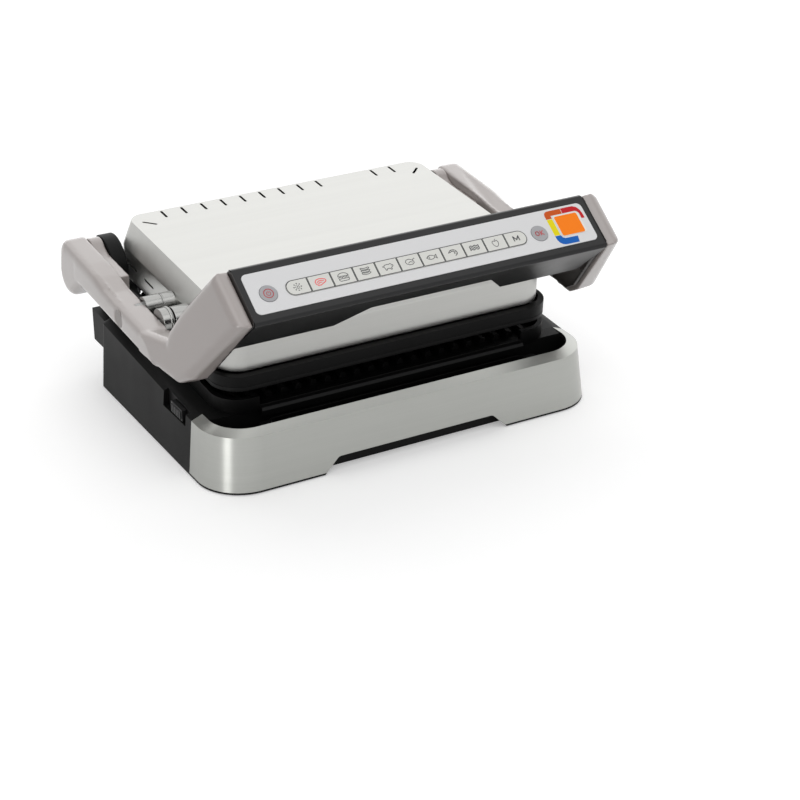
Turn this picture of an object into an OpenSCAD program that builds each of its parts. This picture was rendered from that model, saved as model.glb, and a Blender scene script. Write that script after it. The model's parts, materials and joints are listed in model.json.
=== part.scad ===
// Electric contact grill with a floating upper plate, a pull-down control beam
// and two lift-off ribbed plates. +X is to the right seen from the front, +Y to
// the rear, +Z up. The lid group and the plates lean back by lean_deg, so the
// modules inside leaned() use the leaned frame and the base uses the level one.

/* [Base] */
// How far each side of the base stands out past the plates, at the table
side_out = 24.1; // [18:0.1:32]
// How much narrower each side is at the top of the side wall
base_draft = 4.1; // [2:0.1:6]
// How far the front wall stands out past the plates, at the table
front_out = 42.2; // [38:0.1:48]
// How far the rear wall stands behind the plates
back_out = 9; // [6:0.5:14]
// How far the rear hinge block reaches behind the hinge axis
block_out = 5.2; // [2:0.1:12]
// Height of the underside of the hinge block
block_z = 31; // [24:0.5:34]
// Height of the upright part of the front wall
wall_h = 47.3; // [44:0.1:52]
// Plan radius of the front corners
corner_r = 37.6; // [30:0.1:44]
// Plan radius of the rear corners
rear_r = 6; // [3:0.5:10]
// Width of the slanted lip round the top
lip_run = 9.5; // [7:0.1:12]
// Rise of the slanted lip
lip_rise = 3.7; // [2:0.1:5]
// Thickness of the steel wrap
wrap_t = 1; // [0.8:0.1:1.6]
// Where the steel wrap ends on the sides, in front of the origin
seam_front = 68; // [60:0.5:72]
// Wall of the base moulding
shell_t = 3; // [2.4:0.1:4]
// Thickness of the bottom cover
bottom_t = 2; // [1.6:0.1:3]
// How far the rubber feet stand out
foot_out = 1; // [0.8:0.1:2]
// Radius of a rubber foot
foot_r = 8; // [6:0.5:10]
// Height of the dark edge that shows under the steel wrap
edge_h = 1.5; // [1:0.1:2.5]

/* [Front arch] */
// Half the width of the arch at the table
arch_hw = 84; // [70:1:95]
// Half the width of the arch at its top
arch_top_hw = 71; // [55:1:80]
// Height of the arch
arch_h = 13.8; // [10:0.1:18]
// Radius of the upper corners of the arch
arch_r = 5; // [2:0.5:8]

/* [Plates] */
// Backward lean of the plates and of the closed lid, in degrees
lean_deg = 3.66; // [3:0.02:4.4]
// How much higher the leaned rim of the base lies than its front wall
rim_rise = 7.9; // [6:0.1:10]
// Half the width of the cooking plates over their rims
plate_hw = 152.5; // [148:0.1:156]
// Front edge of the plates in the leaned frame, in front of the origin
plate_front = 79.4; // [77:0.1:82]
// Rear edge of the plates in the leaned frame
plate_back = 107; // [100:0.5:109]
// Height of the lower plate rim
plate_rim_h = 12.3; // [10:0.1:14]
// Wall of the plate rims
plate_rim_t = 4; // [3:0.1:6]
// Thickness of the plate floor
plate_t = 4.5; // [3:0.1:6]
// Height of the cooking ribs
rib_h = 4; // [2:0.1:5]
// Distance from rib to rib
rib_pitch = 13.2; // [11:0.1:18]
// Width of a rib at its crest
rib_w = 3.6; // [2.5:0.1:6]
// Clear height between the lower rim and the upper plate rim
rim_gap = 7; // [6.6:0.1:10]
// Distance of each end of the pouring lip from the side of the plate
spout_end = 31.9; // [26:0.1:50]
// Depth of the plate body that drops into its seat
plate_drop = 2.4; // [1.5:0.1:3]
// Diameter of the heating rods
rod_d = 6.5; // [5:0.1:8]

/* [Cover] */
// How far the side walls of the cover stand inside the plate rims
cover_in = 5.3; // [4.5:0.1:8]
// How far the shoulder of the cover bulges out
shoulder_out = 7.3; // [5:0.1:10]
// Height of the shoulder
shoulder_h = 21; // [16:0.5:24]
// Height of the cover
cover_h = 48.1; // [44:0.1:52]
// Height of the frame between the upper plate rim and the cover
frame_h = 13.1; // [11:0.1:16]
// How far the front wall of the cover stands behind the front of the plates
cover_step = 7; // [5:0.1:11]
// How far the rear wall of the cover stands behind the hinge axis
cover_tail = 3.2; // [1:0.1:4]
// Plan radius of the cover corners
cover_r = 20; // [16:0.5:26]
// Sheet thickness of the cover
cover_t = 1.2; // [0.8:0.1:2]
// Distance of the last straight vent slot from the crease of the cover
slot_side = 30.1; // [26:0.1:40]
// Width of a vent slot
slot_w = 2.2; // [1.6:0.1:3]
// Length of a vent slot
slot_len = 13.3; // [9:0.1:16]
// Length of an oblong hole in the side walls of the cover
hole_len = 20; // [14:0.5:24]
// Height of those holes above the lower edge of the cover
hole_rise = 14.6; // [11:0.1:18]
// Distance of the first hole behind the floating axis
hole_back = 48.4; // [40:0.1:52]
// Distance from the first hole to the second
hole_pitch = 35; // [28:0.5:40]

/* [Arms] */
// Width of an arm
arm_w = 21.7; // [18:0.1:26]
// Gap between the cover and each arm, bridged by the pivots
pivot_len = 25.1; // [23:0.1:30]
// Height of an arm
arm_h = 19.4; // [17:0.1:22]
// Height of the top of the arms over the floating axis
arm_rise = 5.1; // [3:0.1:8]
// Edge rounding of the arms
arm_r = 6.5; // [5:0.1:8]
// Radius of the rear end of the arms
hook_r = 18; // [16:0.1:20]
// Inward lean of the risers that carry the control beam, in degrees
riser_deg = 12.5; // [10:0.1:14]
// Thickness of the dark lining of the risers
lining_t = 5; // [3:0.1:7]

/* [Hinges] */
// Distance of the hinge axis of the lid behind the rear wall of the base
hinge_out = 21.8; // [20:0.1:24]
// Height of the hinge axis over the lower edge of the cover
hinge_rise = 3.9; // [2:0.1:6]
// Radius of the rounded top of the hinge towers
tower_r = 27.5; // [24:0.1:28]
// Gap between the cover and the hinge towers
tower_gap = 1.3; // [1.2:0.1:2.5]
// Thickness of the hinge towers
tower_t = 12.8; // [10:0.1:13]
// Radius of the hinge pins
pin_r = 4; // [3:0.1:5]
// Radial running clearance of pins in their bores
run_gap = 0.06; // [0.02:0.01:0.1]
// Axis of the floating upper plate behind the origin, in the leaned frame
float_u = 24.6; // [20:0.1:30]
// Height of that axis over the lower edge of the cover
float_rise = 20.7; // [18:0.1:23]
// Outer radius of the sleeves on the floating axis
sleeve_r = 8.9; // [8:0.1:10]
// Radius of the pin inside those sleeves
float_pin_r = 5; // [4:0.1:6]
// Distance from the floating axis forward to the stop tubes
stop_ahead = 31.6; // [29:0.1:36]
// Outer radius of the stop tubes
stop_r = 12.5; // [11:0.1:13.5]
// Radius of the stop pin
stop_pin_r = 3; // [2:0.1:4]
// Free play of the stop pin in its hole
stop_play = 3; // [2.4:0.1:5]
// Face gap between a turning sleeve and its neighbour
face_gap = 0.4; // [0.3:0.05:0.8]

/* [Control beam] */
// How far each end of the control beam stops short of the arm's inner face
beam_end = 18.2; // [17.7:0.1:20]
// Slope of the control face, in degrees against the leaned frame
face_deg = 31.7; // [29:0.1:34]
// Width of the control face
face_w = 47.3; // [46:0.1:49]
// How far the lower edge of the control face reaches in front of the plates
beam_reach = 61.7; // [59:0.1:64]
// Height of the lower edge of the control face over the top of the arms
beam_rise = 54.8; // [52:0.1:58]
// Dark border between the end of the beam and the light panel
panel_end = 4.6; // [3:0.1:7]
// Start of the light panel above the lower edge of the face
panel_v0 = 5.8; // [5:0.1:8]
// Width of the light panel
panel_w = 35.7; // [34:0.1:37]
// Thickness of the light panel
panel_t = 2; // [1.6:0.1:2.6]
// Half the width of the hand notch at its inner end
notch_hw = 49.7; // [40:0.5:60]
// How far the inner end of the hand notch lies below the control face
notch_drop = 17.5; // [15:0.1:20]
// Run of the flanks of the hand notch for each millimetre of their rise
notch_run = 0.91; // [0.6:0.01:1.4]
// Number of programme keys
key_count = 11; // [8:1:11]
// Height of a key along the face
key_h = 13.6; // [12:0.1:15]
// Middle of the keys above the lower edge of the face
key_v = 21.8; // [20:0.1:24]
// Distance of the row of keys from the left end of the panel
keys_left = 29.6; // [28:0.1:32]
// Distance of the row of keys from the right end of the panel
keys_right = 60.18; // [58:0.01:66]
// Gap round each key
key_gap = 0.25; // [0.2:0.05:0.3]
// How far keys and buttons stand out of the panel
key_out = 0.4; // [0.2:0.1:0.8]
// Radius of the two round buttons
button_r = 7; // [6:0.1:7.6]
// Middle of the power button from the left end of the panel
power_end = 15.3; // [13:0.1:17]
// Middle of the confirm button from the right end of the panel
ok_end = 47.9; // [45:0.1:49]
// Width of the indicator window
lens_w = 23.5; // [20:0.1:24]
// Height of the indicator window along the face
lens_h = 19.5; // [16:0.1:21]
// Middle of the indicator window from the right end of the panel
lens_end = 18; // [16:0.1:21]
// Middle of the indicator window above the lower edge of the face
lens_v = 24.3; // [22:0.1:26]

/* [Tray and release] */
// Distance of each end of the drip tray from the side of the well
tray_side = 45; // [38:0.5:60]
// Height of the drip tray
tray_h = 39; // [30:0.5:40]
// Wall of the drip tray
tray_t = 1.6; // [1.2:0.1:2.4]
// Floor height of the front well
well_z = 6; // [5:0.1:8]
// Thickness of the wall between the front well and the bed of the plate
well_wall = 6.5; // [5:0.1:8]
// Depth of the drip tray from front to rear
tray_d = 18; // [15:0.1:18.2]
// Gap between the tray and the lip in front of it
tray_gap = 0.8; // [0.5:0.1:1.2]
// Middle of the release button behind the origin
release_y = -40; // [-46:0.5:-34]
// Length of the release button
release_l = 21.4; // [16:0.1:26]
// Height of the release button
release_h = 9.7; // [8:0.1:11]
// Height of the middle of the release button
release_z = 43.5; // [42:0.1:44]

/* [Hidden] */
$fn = 48;
eps = 0.01;

steel = "#c9c9c6";
black = "#2c2c2c";
taupe = "#b7adab";
// the width, from the plates outwards
base_hw = plate_hw + side_out;
cover_hw = plate_hw - cover_in;
tower_in = cover_hw + tower_gap;
arm_in = cover_hw + pivot_len;
arm_out = arm_in + arm_w;
spout_hw = plate_hw - spout_end;
beam_hl = arm_in - beam_end;
panel_hl = beam_hl - panel_end;
// the depth, from the plates outwards
base_front = plate_front + front_out;
base_back = plate_back + back_out;
cover_front = plate_front - cover_step;
face_front = plate_front + beam_reach;
hinge_u = base_back + hinge_out;
cover_back = hinge_u + cover_tail;
block_back = hinge_u + block_out;
// the level base
base_z = foot_out;
rim_w = wall_h + rim_rise;
top_hw = base_hw - base_draft;
top_front = base_front - base_draft;
front_h = wall_h + lip_rise;
tray_hw = top_hw - lip_run - tray_side;
inlet_x = base_hw - 64.6;
inlet_z = 17;
lean_t = tan(lean_deg);
// the leaned stack, from the base rim upwards
seat_gap = 0.3;
tower_seat = rim_w - 6;
lower_w = rim_w + seat_gap;
lower_rim_w = lower_w + plate_rim_h;
upper_rim_w = lower_rim_w + rim_gap;
cover_low = upper_rim_w + frame_h;
cover_top = cover_low + cover_h;
float_w = cover_low + float_rise;
hinge_w = cover_low + hinge_rise;
arm_top = float_w + arm_rise;
face_low = arm_top + beam_rise;
notch_foot = face_low - 58.5;
plate_r = 24;
bed_hw = plate_hw - 3;
bed_front = plate_front - 6.4;
bed_back = plate_back + 2;
bed_w = rim_w - 16;
body_hw = bed_hw - 1;
well_back = bed_front + well_wall;
crease_hw = cover_hw - shoulder_out;
slot_pitch = (crease_hw - slot_side) / 6;
arm_w0 = arm_top - arm_h;
boss_in = tower_in + tower_t + face_gap;
stop_u = float_u - stop_ahead;
stop_w = float_w + 1;
bend_dir = [0.794, 0.608];
bend_u = 27.4 - cover_front;
bend_w = arm_w0 + 0.7;
cap_r = 7.2;
cap_w = arm_w0 + arm_h / 2 - 0.6;
face_c = cos(face_deg);
face_s = sin(face_deg);
face_top_u = -face_front + face_w * face_c;
face_top_w = face_low + face_w * face_s;
// what stands in the panel
power_x = power_end - panel_hl;
ok_x = panel_hl - ok_end;
lens_x = panel_hl - lens_end;
key_left = keys_left - panel_hl;
key_row_w = 2 * panel_hl - keys_left - keys_right;
key_pitch = key_row_w / key_count;
key_row_x = key_left + key_row_w / 2;
board_n = panel_t + 1.4;
// moves everything so that the origin lies under the middle of the whole
y_mid = ((face_front + 0.2 - hinge_u) * cos(lean_deg)
  + (face_low - 3 + hinge_w) * sin(lean_deg) - hook_r) / 2;

// ---- frames and shared shapes ----

// the level frame of the base
module level() {
  translate([0, y_mid, 0]) children();
}

// the lean of the plates, for use inside level()
module lean() {
  rotate([lean_deg, 0, 0]) children();
}

// the frame that leans back with the plates
module leaned() {
  level() lean() children();
}

// a shape drawn in side view (y to the rear, z up), w wide and centred on x
module across(w, x = 0) {
  translate([x - w / 2, 0, 0]) rotate([90, 0, 90]) linear_extrude(w) children();
}

// a round bar or hole along x from x0 to x1
module bar_x(x0, x1, r, u, w) {
  translate([x0, u, w]) rotate([0, 90, 0]) cylinder(r = r, h = x1 - x0);
}

// both sides of the object
module both() {
  children();
  mirror([1, 0, 0]) children();
}

// outline from above: half width, front and back, corner radii
module plan(hw, y0, y1, rf, rb) {
  m = max(rf, rb);
  translate([-(hw - m), y0]) square([2 * (hw - m), y1 - y0]);
  translate([-hw, y0 + rf]) square([2 * hw, y1 - y0 - rf - rb]);
  for (s = [-1, 1]) {
    translate([s * (hw - rf), y0 + rf]) circle(rf);
    translate([s * (hw - rb), y1 - rb]) circle(rb);
  }
}

module sheet(hw, y0, y1, rf, rb, z) {
  translate([0, 0, z]) linear_extrude(eps) plan(hw, y0, y1, rf, rb);
}

// a box with rounded plan corners whose edge follows a section given as child:
// x outwards from the corner axis, y up
module pillow(hw, y0, y1, r, z0, z1) {
  w = 2 * (hw - r);
  d = y1 - y0 - 2 * r;
  translate([-hw + r, y0 + r, z0]) cube([w, d, z1 - z0]);
  both() {
    translate([hw - r, y1 - r, 0]) rotate_extrude(angle = 90) children();
    translate([hw - r, y0 + r, 0]) rotate([0, 0, -90]) rotate_extrude(angle = 90) children();
    translate([hw - r, y1 - r, 0]) rotate([90, 0, 0]) linear_extrude(d) children();
  }
  translate([-hw + r, y1 - r, 0]) rotate([90, 0, 90]) linear_extrude(w) children();
  translate([-hw + r, y0 + r, 0]) mirror([0, 1, 0]) rotate([90, 0, 90]) linear_extrude(w) children();
}

// the control face: x along it, y up it, z out of it
module on_face() {
  leaned() translate([0, -face_front, face_low]) rotate([face_deg, 0, 0]) children();
}

// rounded rectangle round a middle point
module rrect(w, h, r) {
  square([w - 2 * r, h], center = true);
  square([w, h - 2 * r], center = true);
  for (x = [-1, 1], y = [-1, 1])
    translate([x * (w / 2 - r), y * (h / 2 - r)]) circle(r);
}

// ---- base ----

// the body of the level front part, grown by g at the wall
module front_body(g) {
  y1 = base_back;
  hull() {
    sheet(base_hw + g, -base_front - g, y1, corner_r + g, rear_r, base_z);
    sheet(top_hw + g, -top_front - g, y1, corner_r + g, rear_r, wall_h - eps);
  }
}

// the opening inside the lip
module lip_plan() {
  plan(top_hw - lip_run, -top_front + lip_run, base_back, corner_r - lip_run, rear_r);
}

// the dark rear part with its leaned rim
module rear_body() {
  hull() {
    sheet(base_hw, -base_front, base_back, corner_r, rear_r, base_z);
    lean() sheet(top_hw, -top_front, base_back + 3, corner_r, rear_r, rim_w - lip_rise);
    lean() sheet(top_hw - lip_run, -top_front + lip_run, base_back + 2, corner_r - lip_run, rear_r, rim_w - eps);
  }
}

module arch_profile() {
  offset(r = arch_r) offset(delta = -arch_r)
    polygon([[-arch_hw - 8, -20], [-arch_hw - 1, 0], [-arch_top_hw, arch_h],
      [arch_top_hw, arch_h], [arch_hw + 1, 0], [arch_hw + 8, -20]]);
}

module arch_cut(depth) {
  translate([0, -base_front + depth, 0]) rotate([90, 0, 0])
    linear_extrude(depth + 10) arch_profile();
}

module tower_profile() {
  translate([hinge_u, hinge_w]) circle(tower_r);
  translate([hinge_u - tower_r, tower_seat + seat_gap])
    square([block_back + 5 - hinge_u + tower_r, hinge_w - tower_seat - seat_gap]);
}

module release_recess() {
  translate([-base_hw - 5, release_y - release_l / 2 - 7, release_z - release_h / 2 - 0.6])
    cube([13, release_l + 21, 40]);
}

// posts under the bed that take the screws of the bottom cover
module screw_posts() {
  for (p = screw_spots()) translate([p[0], p[1], base_z + bottom_t + 0.1]) {
    difference() {
      cylinder(r = 5, h = (bed_w - shell_t) / cos(lean_deg) + p[1] * lean_t - base_z - bottom_t + 1);
      translate([0, 0, -1]) cylinder(r = 1.9, h = 16);
    }
  }
}

function screw_spots() = [for (x = [-1, 1], y = [13 - seam_front, base_back - 38]) [x * (base_hw - 26.6), y]];

// seats of the hinge towers, in the base and in the hinge block
module tower_seats() {
  lean() both() translate([tower_in - face_gap, hinge_u - tower_r - 0.2, tower_seat])
    cube([tower_t + 2 * face_gap, 60, 60]);
}

module base_shell() {
  color(black) level() {
    difference() {
      intersection() {
        rear_body();
        translate([-300, -seam_front, 0]) cube([600, 400, 200]);
      }
      base_hollows();
      tower_seats();
      release_recess();
      translate([-base_hw, release_y, release_z]) rotate([0, 90, 0]) cylinder(r = 2.6, h = 20);
      translate([-base_hw + 8 - eps, release_y, release_z]) rotate([90, 0, 90])
        linear_extrude(3.4) square([release_l + 0.5, release_h + 0.5], center = true);
      // bore of the cord inlet
      translate([inlet_x, base_back - 20, inlet_z]) rotate([-90, 0, 0]) cylinder(r = 6.2, h = 40);
    }
    screw_posts();
  }
}

// block behind the rear wall that carries the hinge towers
module hinge_block() {
  color(black) level() difference() {
    intersection() {
      translate([-base_hw + 7, base_back - 5, block_z])
        cube([2 * base_hw - 14, block_back - base_back + 5, 60]);
      lean() translate([-300, 0, 0]) cube([600, 300, rim_w - lip_rise - 0.2]);
    }
    rear_body();
    // space for the cover of the opened lid
    lean() translate([-tower_in, base_back - 10, bed_w]) cube([2 * tower_in, 80, 60]);
    tower_seats();
  }
}

// front part that carries the steel wrap and holds the drip tray
module front_moulding() {
  color(black) level() difference() {
    union() {
      // core behind the steel wrap
      intersection() {
        front_body(-wrap_t - 0.1);
        translate([-300, -300, 0]) cube([600, 300 - seam_front - 0.1, wall_h - 0.8]);
      }
      // the edge that shows under the wrap
      intersection() {
        front_body(0);
        translate([-300, -300, 0]) cube([600, 300 - seam_front - 0.1, base_z + edge_h]);
      }
      // rear wall of the well, up to the rim
      intersection() {
        rear_body();
        translate([-300, -well_back, 0]) cube([600, well_back - seam_front - 0.1, 200]);
        linear_extrude(200) offset(delta = -0.1) lip_plan();
      }
    }
    // opening of the front well
    difference() {
      translate([0, 0, well_z]) linear_extrude(100) lip_plan();
      translate([-300, -well_back, 0]) cube([600, 400, 200]);
    }
    base_hollows();
    arch_cut(11);
  }
}

// what both mouldings of the base leave free
module base_hollows() {
  // bed of the lower plate
  lean() translate([0, 0, bed_w])
    linear_extrude(60) plan(bed_hw, -bed_front, bed_back, plate_r - 3, plate_r - 3);
  // hollow underneath
  difference() {
    translate([0, 0, -1]) linear_extrude(80)
      plan(top_hw - shell_t - 1, -well_back + shell_t, base_back - shell_t, 4, 4);
    lean() translate([-300, -300, bed_w - shell_t]) cube([600, 600, 100]);
    // kept solid round the release button
    translate([-base_hw, release_y - 26, -5]) cube([15, 52, 80]);
  }
  // seat of the bottom cover
  linear_extrude(base_z + bottom_t)
    plan(base_hw - 6, -base_front + 16, base_back - 4, corner_r - 8, rear_r);
}

module hinge_tower() {
  difference() {
    intersection() {
      leaned() across(tower_t, tower_in + tower_t / 2) tower_profile();
      level() translate([-300, -300, 0]) cube([600, 300 + block_back, 300]);
    }
    leaned() bar_x(tower_in - 1, arm_in, pin_r + run_gap, hinge_u, hinge_w);
  }
}

module right_hinge_tower() {
  color(black) hinge_tower();
}

module left_hinge_tower() {
  color(black) mirror([1, 0, 0]) hinge_tower();
}

module front_wrap() {
  color(steel) level() difference() {
    union() {
      difference() {
        front_body(0);
        front_body(-wrap_t);
        translate([0, 0, wall_h - 2]) linear_extrude(3)
          plan(top_hw - wrap_t + 0.2, -top_front + wrap_t - 0.2, base_back, corner_r - wrap_t, rear_r);
      }
      // slanted lip
      hull() {
        sheet(top_hw, -top_front, base_back, corner_r, rear_r, wall_h - 0.7);
        sheet(top_hw, -top_front, base_back, corner_r, rear_r, wall_h);
        sheet(top_hw - lip_run, -top_front + lip_run, base_back, corner_r - lip_run, rear_r, front_h - eps);
      }
    }
    translate([0, 0, wall_h - 10]) linear_extrude(40) lip_plan();
    translate([-300, -seam_front, -1]) cube([600, 400, 200]);
    translate([-300, -300, -1]) cube([600, 600, 1 + base_z + edge_h]);
    arch_cut(40);
  }
}

module bottom_cover() {
  color(black) level() difference() {
    translate([0, 0, base_z]) linear_extrude(bottom_t)
      plan(base_hw - 6.3, -base_front + 16.3, base_back - 4.3, corner_r - 8.3, rear_r);
    // cooling slots
    for (i = [-7:7], y = [-30, 30])
      translate([i * 14 - 2, y, -1]) cube([4, 36, 20]);
    for (p = screw_spots()) translate([p[0], p[1], -1]) {
      cylinder(r = 1.9, h = 18);
      cylinder(r = 3.6, h = 1 + base_z + 0.7);
    }
    // pockets of the feet
    for (p = foot_spots()) translate([p[0], p[1], 0]) cylinder(r = foot_r + 0.1, h = base_z + 0.8);
  }
}

function foot_spots() = [for (x = [-1, 1], y = [43.6 - base_front, base_back - 16]) [x * (base_hw - 34.6), y]];

module feet() {
  color("#1d1d1d") level() for (p = foot_spots()) translate([p[0], p[1], 0]) {
    cylinder(r1 = foot_r - 0.8, r2 = foot_r, h = base_z);
    translate([0, 0, base_z]) cylinder(r = foot_r, h = 0.8);
  }
}

module bottom_screws() {
  color("#8a8a88") level() for (p = screw_spots()) translate([p[0], p[1], base_z + 0.1]) {
    difference() {
      cylinder(r = 3.4, h = 0.6);
      translate([0, 0, -0.1]) cylinder(r = 1.2, h = 0.4, $fn = 6);
    }
    translate([0, 0, 0.6]) cylinder(r = 1.8, h = 12);
  }
}

module power_inlet() {
  color("#1d1d1d") level() translate([inlet_x, base_back - shell_t - 2, inlet_z]) rotate([-90, 0, 0])
    difference() {
      union() {
        cylinder(r = 6, h = 14);
        translate([0, 0, 0.2]) cylinder(r = 7.5, h = 1.6);
        translate([0, 0, 5.1]) cylinder(r = 7.8, h = 1.5);
        for (i = [0:2]) translate([0, 0, 8.4 + i * 2.2]) cylinder(r = 6.5, h = 1.1);
      }
      translate([0, 0, 4]) cylinder(r = 3.3, h = 20);
    }
}

// ---- reflectors and heating rods ----

// a pan of thin sheet, open upwards
module pan(h) {
  difference() {
    linear_extrude(h) plan(bed_hw - 0.6, -bed_front + 0.6, bed_back - 0.6, 20.4, 20.4);
    translate([0, 0, 0.8]) linear_extrude(h)
      plan(bed_hw - 1.4, -bed_front + 1.4, bed_back - 1.4, 19.6, 19.6);
  }
}

// a heating rod that goes round the bed in one loop with two inward bends
module rod_loop() {
  r = rod_d / 2;
  x1 = bed_hw - 32;
  y0 = -bed_front + 30;
  y1 = bed_back - 34;
  xm = 38;
  b = 16;
  // corners of one half and the short inner loop
  both() {
    translate([x1 - b, y0 + b, 0]) rotate([0, 0, -90])
      rotate_extrude(angle = 90) translate([b, 0]) circle(r);
    translate([x1 - b, y1 - b, 0]) rotate_extrude(angle = 90) translate([b, 0]) circle(r);
    translate([x1, y0 + b, 0]) rotate([-90, 0, 0]) cylinder(r = r, h = y1 - y0 - 2 * b);
    translate([xm + b, y1, 0]) rotate([0, 90, 0]) cylinder(r = r, h = x1 - xm - 2 * b);
    translate([xm + b, y1 - b, 0]) rotate([0, 0, 90])
      rotate_extrude(angle = 90) translate([b, 0]) circle(r);
    translate([xm, y0 + 60, 0]) rotate([-90, 0, 0]) cylinder(r = r, h = y1 - y0 - 60 - b);
    translate([xm - b, y0 + 60, 0]) rotate([0, 0, -90])
      rotate_extrude(angle = 90) translate([b, 0]) circle(r);
  }
  translate([-xm + b, y0 + 44, 0]) rotate([0, 90, 0]) cylinder(r = r, h = 2 * (xm - b));
  translate([-x1 + b, y0, 0]) rotate([0, 90, 0]) cylinder(r = r, h = 2 * (x1 - b));
}

// saddles that hold the rod off the pan
module rod_saddles(h) {
  x1 = bed_hw - 32;
  ym = (bed_back - bed_front) / 2 + 8;
  for (p = [[x1, ym], [-x1, ym], [38, ym], [-38, ym]])
    translate([p[0], p[1], 0]) difference() {
      translate([-7, -3, 0]) cube([14, 6, h + rod_d / 2 + saddle_t]);
      translate([0, -4, h]) rotate([-90, 0, 0]) cylinder(r = rod_d / 2 + 0.05, h = 8);
    }
}

lower_rod_w = bed_w + 1.1 + 5 + rod_d / 2;
upper_rod_w = upper_rim_w + 3.8 + plate_drop + 1 + rod_d / 2;
upper_pan_w = upper_rod_w + rod_d / 2 + 2;
pan_h = 11;
// strap of a saddle over the rod
saddle_t = 0.8;

module lower_reflector() {
  color("#b9bbbd") leaned() translate([0, 0, bed_w + 0.2]) pan(pan_h);
}

module lower_heater() {
  color("#5a5652") leaned() translate([0, 0, lower_rod_w]) rod_loop();
}

module lower_heater_clips() {
  color("#9a9c9e") leaned() translate([0, 0, bed_w + 1])
    rod_saddles(lower_rod_w - bed_w - 1);
}

// ---- drip tray, lower plate, release button ----

module tray_outline(g) {
  y0 = -top_front + lip_run + tray_gap;
  translate([0, y0 + tray_d / 2]) rrect(2 * (tray_hw - g), tray_d - 2 * g, 6 - g);
}

module drip_tray() {
  color("#303030") level() translate([0, 0, well_z + 0.2]) difference() {
    union() {
      linear_extrude(tray_h) tray_outline(0);
      // finger tabs at both ends
      for (s = [-1, 1]) translate([s * (tray_hw + 3), -top_front + lip_run + tray_gap + tray_d / 2, tray_h - 3])
        linear_extrude(3) rrect(12, 12, 3);
    }
    translate([0, 0, tray_t]) linear_extrude(tray_h) tray_outline(tray_t);
  }
}

// a tapered rib along y
module rib(y0, y1) {
  translate([0, y1, 0]) rotate([90, 0, 0]) linear_extrude(y1 - y0)
    polygon([[-rib_w / 2 - 1.3, -0.5], [rib_w / 2 + 1.3, -0.5], [rib_w / 2, rib_h], [-rib_w / 2, rib_h]]);
}

module ribs(hw, y0, y1) {
  n = floor((hw - 6) / rib_pitch);
  for (i = [-n:n]) translate([i * rib_pitch, 0, 0]) rib(y0, y1);
}

// ribbed tray shared by both plates: rim h high on a floor t thick
module grill_plate(h) {
  hw = plate_hw;
  t = plate_rim_t;
  difference() {
    union() {
      linear_extrude(h) plan(hw, -plate_front, plate_back, plate_r, plate_r);
      translate([0, 0, -plate_drop]) linear_extrude(plate_drop + 1)
        plan(body_hw, -bed_front + 1, bed_back - 3, plate_r - 4, plate_r - 4);
    }
    translate([0, 0, plate_t - plate_drop]) linear_extrude(h + 10)
      plan(hw - t, -plate_front + t, plate_back - t, plate_r - t, plate_r - t);
  }
  translate([0, 0, plate_t - plate_drop]) ribs(hw - t, -plate_front + 14, plate_back - 10);
}

// side view of the pouring lip, in the leaned frame
module spout_profile() {
  f = -plate_front;
  polygon([[f + 5, lower_w + 0.4], [f - 1, lower_w + 0.2], [f - 3.2, lower_w - 3],
    [f - 5.4, lower_w - 3], [f - 5.2, lower_w + 1.6], [f - 3.6, lower_w + 3.6], [f + 5, lower_w + 4.8]]);
}

module lower_plate() {
  color("#262626") leaned() {
    difference() {
      translate([0, 0, lower_w]) grill_plate(plate_rim_h);
      // the rim is open in front, between the two corners
      translate([-spout_hw, -plate_front - 1, lower_w + 4.6]) cube([2 * spout_hw, plate_rim_t + 4, 20]);
    }
    across(2 * spout_hw) spout_profile();
  }
}

module release_button() {
  x0 = -base_hw + 8;
  color("#242424") level() translate([x0 + 0.2, release_y, release_z]) difference() {
    union() {
      translate([-4.4, -release_l / 2, -release_h / 2]) cube([4.2, release_l, release_h]);
      translate([-5.4, -release_l / 2 + 2, -release_h / 2 + 1.4])
        cube([2, release_l - 4, release_h - 2.8]);
      translate([-1, 0, 0]) rotate([0, 90, 0]) cylinder(r = 2.54, h = 10);
    }
    for (i = [-2:2]) translate([-6, i * 3.2 - 0.6, -release_h]) cube([1.2, 1.2, 2 * release_h]);
  }
}

// ---- lid arms ----

// side view of the riser, from the elbow to the end of the beam
module riser_blade() {
  b = bend_u;
  polygon([[-face_front - 3.2, face_low + 2.4], [b - 46, arm_w0 + 9.8], [b - 31, arm_w0 + 0.3],
    [b - 5, arm_w0], [b - 9.7, arm_top + 15.5], [b - 22.2, arm_top + 36.9],
    [face_top_u + 7.8, face_top_w - 8.4], [face_top_u - 1.1, face_top_w + 3]]);
}

// side view of the foot of the riser, on both sides of the bend
module riser_foot() {
  b = bend_u;
  polygon([[b - 31, arm_w0 + 0.3], [b + 29, arm_w0], [b + 29, arm_top], [b + 14, arm_top],
    [b - 13, arm_top + 9], [b - 46, arm_w0 + 9.8]]);
}

// cross section of the straight part of an arm, x outwards
module bar_section() {
  hull() {
    translate([arm_out - arm_r, arm_top - arm_r]) circle(arm_r);
    translate([arm_out - arm_r / 2, arm_w0 + arm_r / 2]) circle(arm_r / 2);
    for (w = [arm_w0 + 1.5, arm_top - 1.5]) translate([arm_in + 1.5, w]) circle(1.5);
  }
}

// the half plane in front of the bend, where the riser leans inward
module past_bend() {
  translate([bend_u, bend_w]) rotate([0, 0, atan2(bend_dir[1], bend_dir[0])])
    translate([-300, 0]) square([600, 300]);
}

// side view of the rear end that hangs over the hinge
module hook_outline() {
  translate([hinge_u, hinge_w]) circle(hook_r);
  translate([hinge_u + 5, arm_top - 11]) circle(11);
  translate([hinge_u - 25, arm_w0 + 7.6]) circle(6);
  translate([hinge_u - 36, arm_top - 6]) circle(6);
}

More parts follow.
